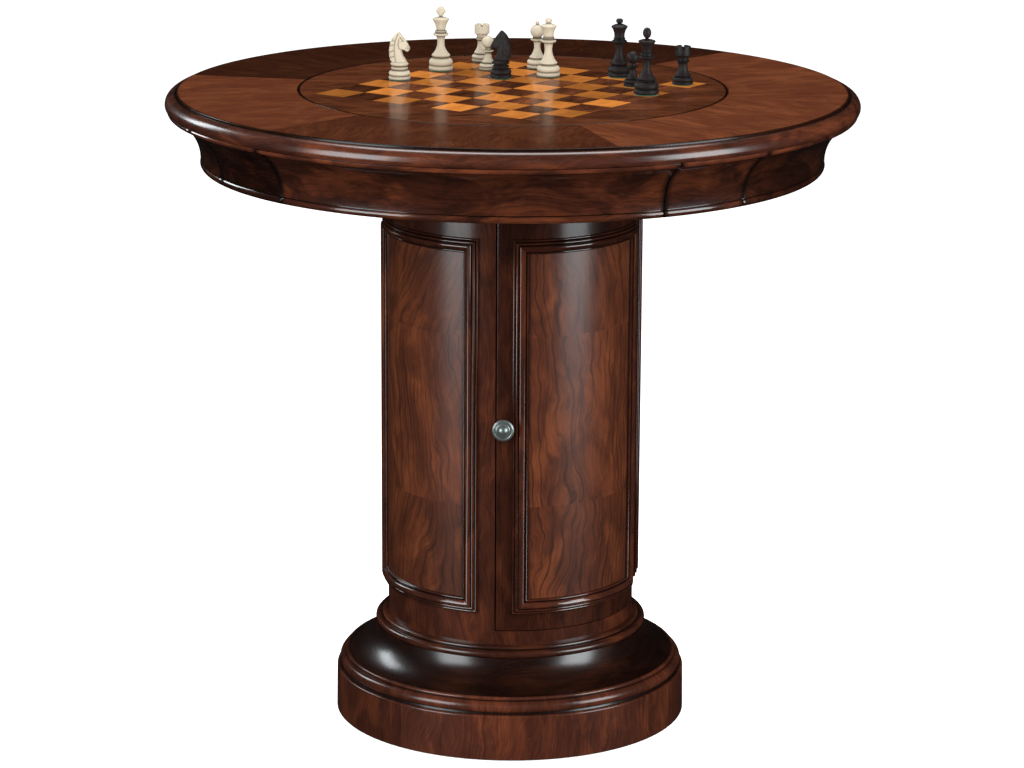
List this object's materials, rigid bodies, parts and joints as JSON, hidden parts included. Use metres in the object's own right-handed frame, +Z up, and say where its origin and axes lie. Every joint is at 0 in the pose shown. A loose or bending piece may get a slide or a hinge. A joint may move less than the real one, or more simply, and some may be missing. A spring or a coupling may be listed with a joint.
{
  "type": "gaming table",
  "caption": "Round pub-height gaming table with a cabinet pedestal, curved door, moulded apron drawers and a lift-out chess board over a felt well, with chess men set out.",
  "frame": {"origin": "on the floor under the centre of the round base", "axes": "+Z up; the table's front, seen with the door's knob just left of centre, faces -Y; +X to the right of it"},
  "size_m": [1.0892, 1.089, 1.121],
  "materials": {
    "dark_cherry": "dark cherry stain under satin-gloss lacquer",
    "frame_cherry": "darker glazed moulding, gloss lacquer",
    "figured_cherry": "figured veneer, gloss lacquer",
    "ring_top_cherry": "medium red-brown veneer, gloss lacquer",
    "board_light": "amber veneer, gloss lacquer",
    "board_dark": "dark red-brown veneer, gloss lacquer",
    "interior_wood": "satin sealed hardwood",
    "green_felt": "matte wool felt",
    "aged_pewter": "aged pewter, satin",
    "steel": "zinc plated",
    "brass": "plain turned",
    "glide_plastic": "matte",
    "catch_plastic": "matte brown",
    "white_men": "bleached wood, satin",
    "black_men": "ebonised wood, satin"
  },
  "bodies": {
    "table": {"base_glides": "glide_plastic", "plinth": "dark_cherry", "base_scotia": "dark_cherry", "base_collar": "dark_cherry", "cabinet_floor": "interior_wood", "cabinet_shelf": "interior_wood", "shelf_pins": "steel", "column_bottom_rail": "dark_cherry", "column_top_rail": "dark_cherry", "column_shell": "dark_cherry", "side_panel_frames": "frame_cherry", "side_figured_panels": "figured_cherry", "door_pivot_pins": "steel", "door_catch": "catch_plastic", "drawer_deck": "interior_wood", "deck_screws": "steel", "centre_bearer": "interior_wood", "drawer_guides": "interior_wood", "well_floor": "interior_wood", "well_wall": "dark_cherry", "well_felt": "green_felt", "top_segments": "ring_top_cherry", "rim_moulding": "dark_cherry", "apron_right_front": "dark_cherry", "apron_right_middle": "dark_cherry", "apron_right_rear": "dark_cherry", "apron_left_front": "dark_cherry", "apron_left_middle": "dark_cherry", "apron_left_rear": "dark_cherry"},
    "door": {"door_leaf": "dark_cherry", "door_pivot_bushes": "brass", "door_knob": "aged_pewter", "door_knob_screw": "steel", "door_strike": "steel", "door_panel_frame": "frame_cherry", "door_figured_panel": "figured_cherry"},
    "front_drawer": {"front_drawer_face": "dark_cherry", "front_drawer_sides": "interior_wood", "front_drawer_back": "interior_wood", "front_drawer_bottom": "interior_wood"},
    "rear_drawer": {"rear_drawer_face": "dark_cherry", "rear_drawer_sides": "interior_wood", "rear_drawer_back": "interior_wood", "rear_drawer_bottom": "interior_wood"},
    "game_board": {"board_core": "interior_wood", "board_border": "ring_top_cherry", "board_dark_squares": "board_dark", "board_light_squares": "board_light"},
    "white_king": {"white_king": "white_men"},
    "white_queen": {"white_queen": "white_men"},
    "white_bishop": {"white_bishop": "white_men"},
    "white_knight": {"white_knight": "white_men"},
    "white_rook": {"white_rook": "white_men"},
    "white_pawn": {"white_pawn": "white_men"},
    "black_king": {"black_king": "black_men"},
    "black_queen": {"black_queen": "black_men"},
    "black_knight": {"black_knight": "black_men"},
    "black_rook": {"black_rook": "black_men"},
    "black_pawn": {"black_pawn": "black_men"}
  },
  "joints": [
    {"name": "door_swing", "type": "hinge", "parent": "table", "child": "door", "pos_m": [0.18668, -0.03315, 0.527], "axis": [0, 0, 1], "range_deg": [0, 95]},
    {"name": "front_drawer_slide", "type": "slide", "parent": "table", "child": "front_drawer", "axis": [-0.1513, -0.9885, 0], "range_m": [0, 0.24]},
    {"name": "rear_drawer_slide", "type": "slide", "parent": "table", "child": "rear_drawer", "axis": [0.1513, 0.9885, 0], "range_m": [0, 0.24]},
    {"name": "game_board_lift", "type": "slide", "parent": "table", "child": "game_board", "axis": [0, 0, 1], "range_m": [0, 0.15]},
    {"name": "white_king_lift", "type": "slide", "parent": "game_board", "child": "white_king", "axis": [0, 0, 1], "range_m": [0, 0.1]},
    {"name": "white_queen_lift", "type": "slide", "parent": "game_board", "child": "white_queen", "axis": [0, 0, 1], "range_m": [0, 0.1]},
    {"name": "white_bishop_lift", "type": "slide", "parent": "game_board", "child": "white_bishop", "axis": [0, 0, 1], "range_m": [0, 0.1]},
    {"name": "white_knight_lift", "type": "slide", "parent": "game_board", "child": "white_knight", "axis": [0, 0, 1], "range_m": [0, 0.1]},
    {"name": "white_rook_lift", "type": "slide", "parent": "game_board", "child": "white_rook", "axis": [0, 0, 1], "range_m": [0, 0.1]},
    {"name": "white_pawn_lift", "type": "slide", "parent": "game_board", "child": "white_pawn", "axis": [0, 0, 1], "range_m": [0, 0.1]},
    {"name": "black_king_lift", "type": "slide", "parent": "game_board", "child": "black_king", "axis": [0, 0, 1], "range_m": [0, 0.1]},
    {"name": "black_queen_lift", "type": "slide", "parent": "game_board", "child": "black_queen", "axis": [0, 0, 1], "range_m": [0, 0.1]},
    {"name": "black_knight_lift", "type": "slide", "parent": "game_board", "child": "black_knight", "axis": [0, 0, 1], "range_m": [0, 0.1]},
    {"name": "black_rook_lift", "type": "slide", "parent": "game_board", "child": "black_rook", "axis": [0, 0, 1], "range_m": [0, 0.1]},
    {"name": "black_pawn_lift", "type": "slide", "parent": "game_board", "child": "black_pawn", "axis": [0, 0, 1], "range_m": [0, 0.1]}
  ]
}
